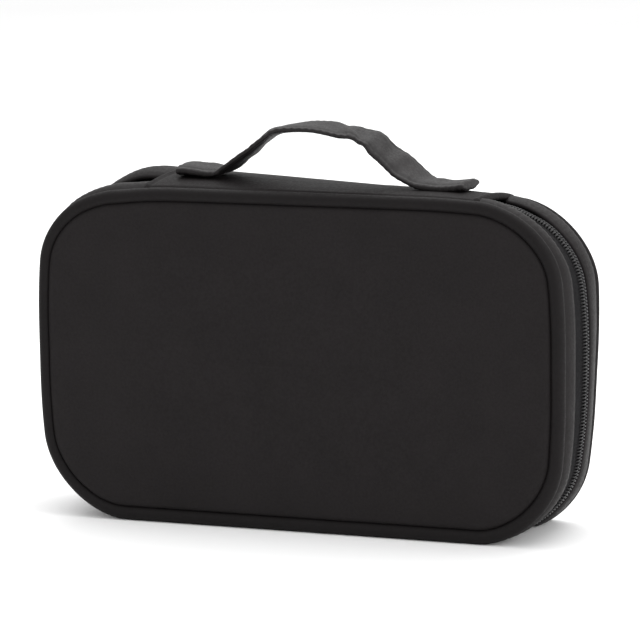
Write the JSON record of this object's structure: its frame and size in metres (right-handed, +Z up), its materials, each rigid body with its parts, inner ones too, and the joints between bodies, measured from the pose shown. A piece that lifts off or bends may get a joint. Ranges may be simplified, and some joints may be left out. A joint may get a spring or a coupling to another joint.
{
  "type": "cable organizer pouch",
  "caption": "Soft two-sided zip pouch for cables: padded trays that open flat about a top panel with a flat carry handle, elastic loops, mesh pocket and divider page.",
  "frame": {"origin": "centre of the pouch's footprint, on the surface that it stands on", "axes": "+X along the long edge, to the right seen from the front; +Y from the front tray to the back tray; +Z up, from the standing edge to the handle"},
  "size_m": [0.2428, 0.055, 0.1711],
  "materials": {
    "shell_fabric": "fine plain-weave nylon over foam, matte",
    "piping": "nylon wrapped round a cord, soft sheen on the curve",
    "gusset_fabric": "plain-weave nylon, slightly loose",
    "top_fabric": "plain-weave nylon, folded and stitched",
    "lining": "smooth polyester lining, dark grey",
    "foam": "closed-cell foam board",
    "zip_tape": "woven polyester tape",
    "zip_coil": "nylon coil, satin",
    "elastic": "ribbed elastic webbing",
    "mesh": "open knitted mesh",
    "binding": "grosgrain binding tape",
    "thread": "polyester sewing thread",
    "slider_metal": "black enamelled zinc",
    "pull_metal": "black enamelled zinc"
  },
  "bodies": {
    "back_half": {"back_panel": "shell_fabric", "back_foam_board": "foam", "back_piping": "piping", "back_gusset": "gusset_fabric", "top_panel_back": "top_fabric", "back_lining": "lining", "back_zip_tape": "zip_tape", "back_zip_coil": "zip_coil", "loop_band_upper": "elastic", "loop_band_lower": "elastic", "loop_bartacks": "thread"},
    "top_strip": {"top_panel_middle": "top_fabric", "top_lining": "lining", "handle_strap": "top_fabric", "handle_core": "foam", "handle_bartacks": "thread"},
    "front_half": {"front_panel": "shell_fabric", "front_foam_board": "foam", "front_piping": "piping", "front_gusset": "gusset_fabric", "top_panel_front": "top_fabric", "front_lining": "lining", "front_zip_tape": "zip_tape", "front_zip_coil": "zip_coil", "mesh_pocket": "mesh", "mesh_pocket_binding": "elastic"},
    "divider": {"divider_board": "lining", "divider_binding": "binding", "divider_hinge_tape": "binding", "divider_loop_band": "elastic", "divider_pocket": "lining"},
    "upper_slider": {"upper_slider": "slider_metal"},
    "upper_pull": {"upper_slider_pull": "pull_metal"},
    "lower_slider": {"lower_slider": "slider_metal"},
    "lower_pull": {"lower_slider_pull": "pull_metal"}
  },
  "joints": [
    {"name": "back_fold", "type": "hinge", "parent": "back_half", "child": "top_strip", "pos_m": [0, 0.012, 0.148], "axis": [-1, 0, 0], "range_deg": [0, 90]},
    {"name": "front_fold", "type": "hinge", "parent": "top_strip", "child": "front_half", "pos_m": [0, -0.012, 0.148], "axis": [-1, 0, 0], "range_deg": [0, 90]},
    {"name": "divider_turn", "type": "hinge", "parent": "top_strip", "child": "divider", "pos_m": [0, 0, 0.1446], "axis": [1, 0, 0], "range_deg": [0, 54]},
    {"name": "upper_slider_travel", "type": "slide", "parent": "back_half", "child": "upper_slider", "axis": [0, 0, 1], "range_m": [0, 0.022]},
    {"name": "lower_slider_travel", "type": "slide", "parent": "back_half", "child": "lower_slider", "axis": [0, 0, -1], "range_m": [0, 0.022]},
    {"name": "upper_pull_swing", "type": "hinge", "parent": "upper_slider", "child": "upper_pull", "pos_m": [-0.1213, 0, 0.0809], "axis": [0, -1, 0], "range_deg": [0, 90]},
    {"name": "lower_pull_swing", "type": "hinge", "parent": "lower_slider", "child": "lower_pull", "pos_m": [-0.1213, 0, 0.0671], "axis": [0, 1, 0], "range_deg": [0, 90]}
  ],
  "couplings": [
    {"joint": "divider_turn", "follows": "back_fold", "ratio": 0.6}
  ]
}
